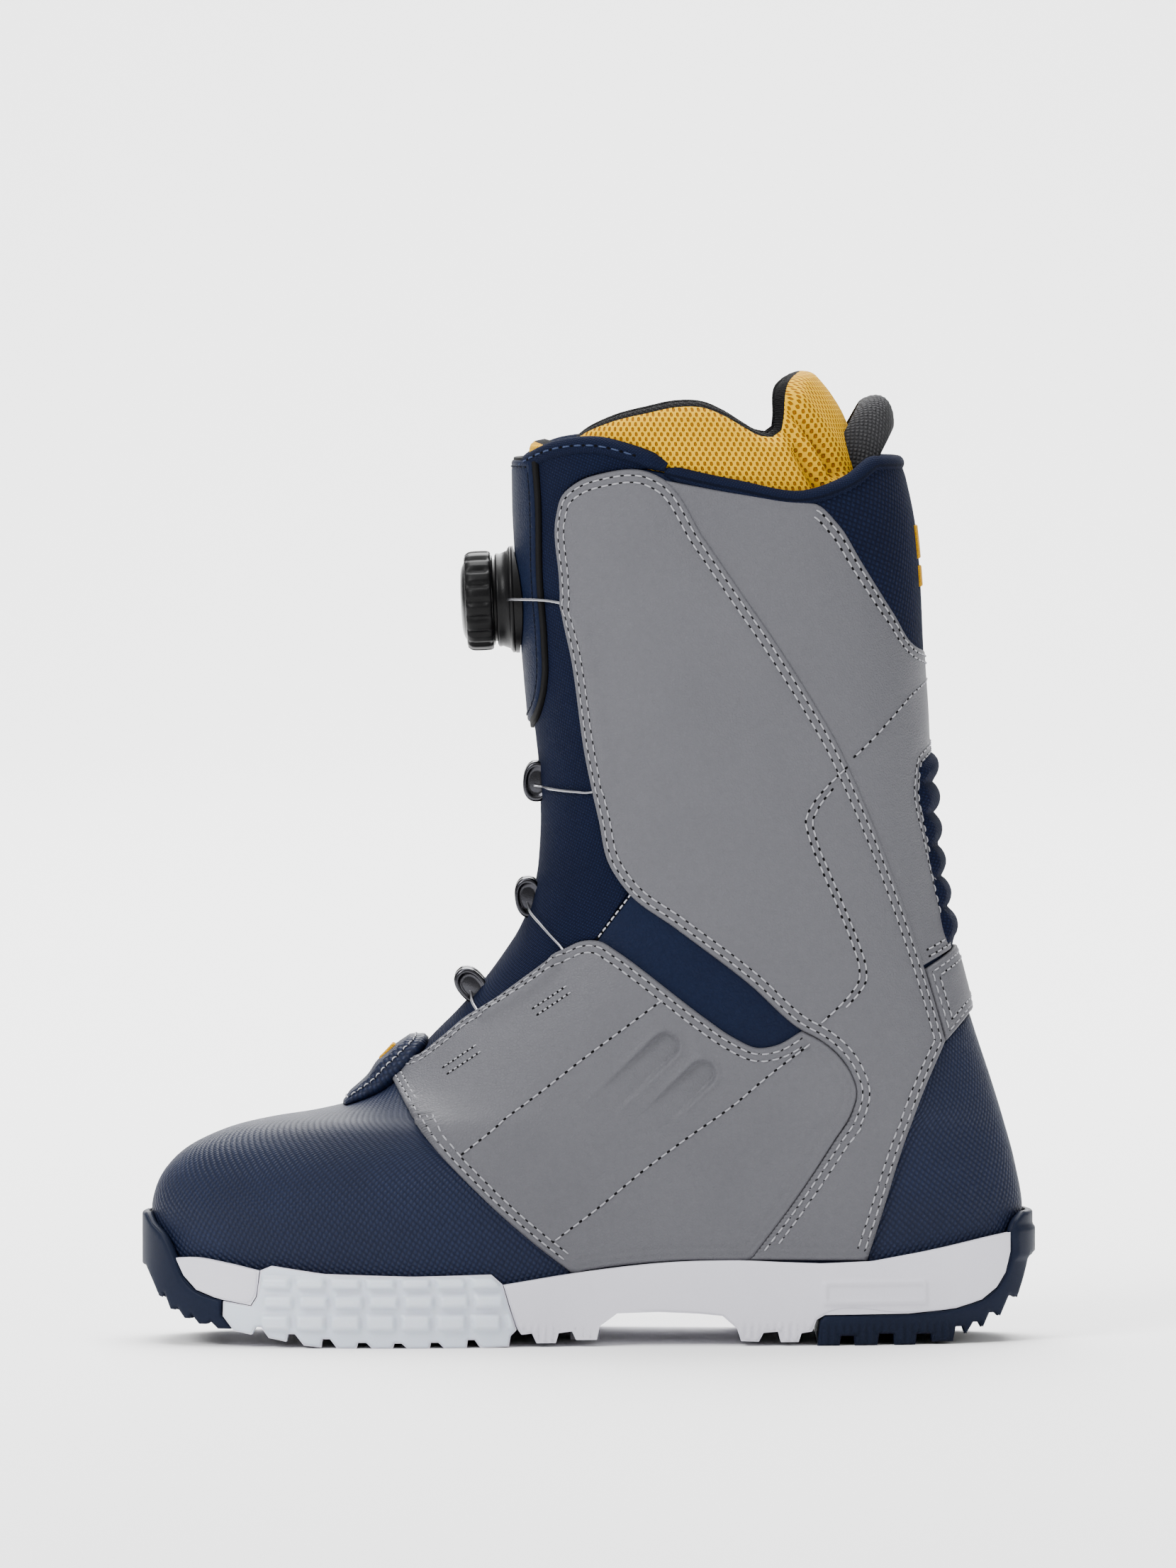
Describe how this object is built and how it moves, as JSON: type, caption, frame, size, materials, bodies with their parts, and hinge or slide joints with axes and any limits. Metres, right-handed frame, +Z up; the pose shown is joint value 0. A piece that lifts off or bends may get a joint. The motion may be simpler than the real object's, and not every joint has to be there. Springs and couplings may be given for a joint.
{
  "type": "snowboard boot",
  "caption": "Right snowboard boot: stitched leather upper over a removable mesh liner, cable lace wound by a dial on the tongue, lugged two-tone sole.",
  "frame": {"origin": "on the ground under the middle of the boot's bounding box", "axes": "+Z up; the toe points towards -X and the heel towards +X; the inner (medial) side of this right boot faces -Y"},
  "size_m": [0.3053, 0.1131, 0.3365],
  "materials": {
    "white_rubber": "matte",
    "navy_rubber": "matte",
    "grey_leather": "satin",
    "navy_leather": "matte",
    "navy_fabric": "matte",
    "yellow_mesh": "matte",
    "yellow_thread": "matte",
    "black_webbing": "matte",
    "footbed_foam": "matte",
    "board": "matte",
    "spring_steel": "satin",
    "dial_plastic": "satin",
    "grip_rubber": "matte",
    "guide_metal": "gloss",
    "lace_steel": "satin",
    "tube_plastic": "matte"
  },
  "bodies": {
    "shell": {"midsole": "white_rubber", "forefoot_outsole": "white_rubber", "toe_bumper": "navy_rubber", "heel_outsole": "navy_rubber", "shank": "spring_steel", "lasting_board": "board", "footbed": "footbed_foam", "toe_vamp": "navy_leather", "heel_counter": "navy_leather", "quarter_lining_medial": "navy_leather", "quarter_lining_lateral": "navy_leather", "flex_accordion": "navy_leather", "collar_mesh": "navy_fabric", "collar_rim": "navy_fabric", "heel_mark": "yellow_thread", "lower_quarter_medial": "grey_leather", "lower_quarter_lateral": "grey_leather", "upper_quarter_medial": "grey_leather", "upper_quarter_lateral": "grey_leather", "rear_cuff_panel": "grey_leather", "heel_strap": "grey_leather", "liner_foot": "yellow_mesh", "liner_cuff": "yellow_mesh", "liner_heel_tab": "yellow_mesh", "lace_tubes_medial": "tube_plastic", "lace_tubes_lateral": "tube_plastic"},
    "tongue": {"tongue": "navy_fabric", "tongue_rim": "navy_fabric", "dial_patch": "navy_leather", "liner_tongue": "yellow_mesh", "dial_base": "dial_plastic", "ratchet_ring": "dial_plastic", "dial_axle": "spring_steel", "guide_upper": "guide_metal", "guide_middle": "guide_metal", "guide_lower": "guide_metal", "guide_rivets": "guide_metal", "lace": "lace_steel"},
    "tab": {"vamp_tab": "navy_leather"},
    "dial_drive": {"dial_drive": "dial_plastic"},
    "spool": {"lace_spool": "dial_plastic"},
    "knob": {"knob_core": "dial_plastic", "knob_grip": "grip_rubber"},
    "pull_loop": {"pull_loop": "black_webbing"}
  },
  "joints": [
    {"name": "tongue_open", "type": "hinge", "parent": "shell", "child": "tongue", "pos_m": [-0.064, 0, 0.082], "axis": [0, -1, 0], "range_deg": [0, 20], "deforming": ["lace"]},
    {"name": "tab_fold", "type": "hinge", "parent": "shell", "child": "tab", "pos_m": [-0.0838, 0, 0.0808], "axis": [0, -1, 0], "range_deg": [0, 20]},
    {"name": "dial_turn", "type": "hinge", "parent": "tongue", "child": "dial_drive", "pos_m": [-0.0243, 0, 0.2545], "axis": [-0.999, 0, -0.0454], "continuous": true},
    {"name": "spool_turn", "type": "hinge", "parent": "tongue", "child": "spool", "pos_m": [-0.0243, 0, 0.2545], "axis": [-0.999, 0, -0.0454], "continuous": true},
    {"name": "knob_release", "type": "slide", "parent": "dial_drive", "child": "knob", "axis": [-0.999, 0, -0.0454], "range_m": [0, 0.003]},
    {"name": "loop_bend", "type": "hinge", "parent": "shell", "child": "pull_loop", "pos_m": [0.0935, 0, 0.3], "axis": [0, 1, 0], "range_deg": [0, 12], "stiffness_Nm_per_rad": 0.02}
  ],
  "couplings": [
    {"joint": "tab_fold", "follows": "tongue_open", "ratio": 0.95},
    {"joint": "spool_turn", "follows": "dial_turn", "ratio": 1}
  ]
}
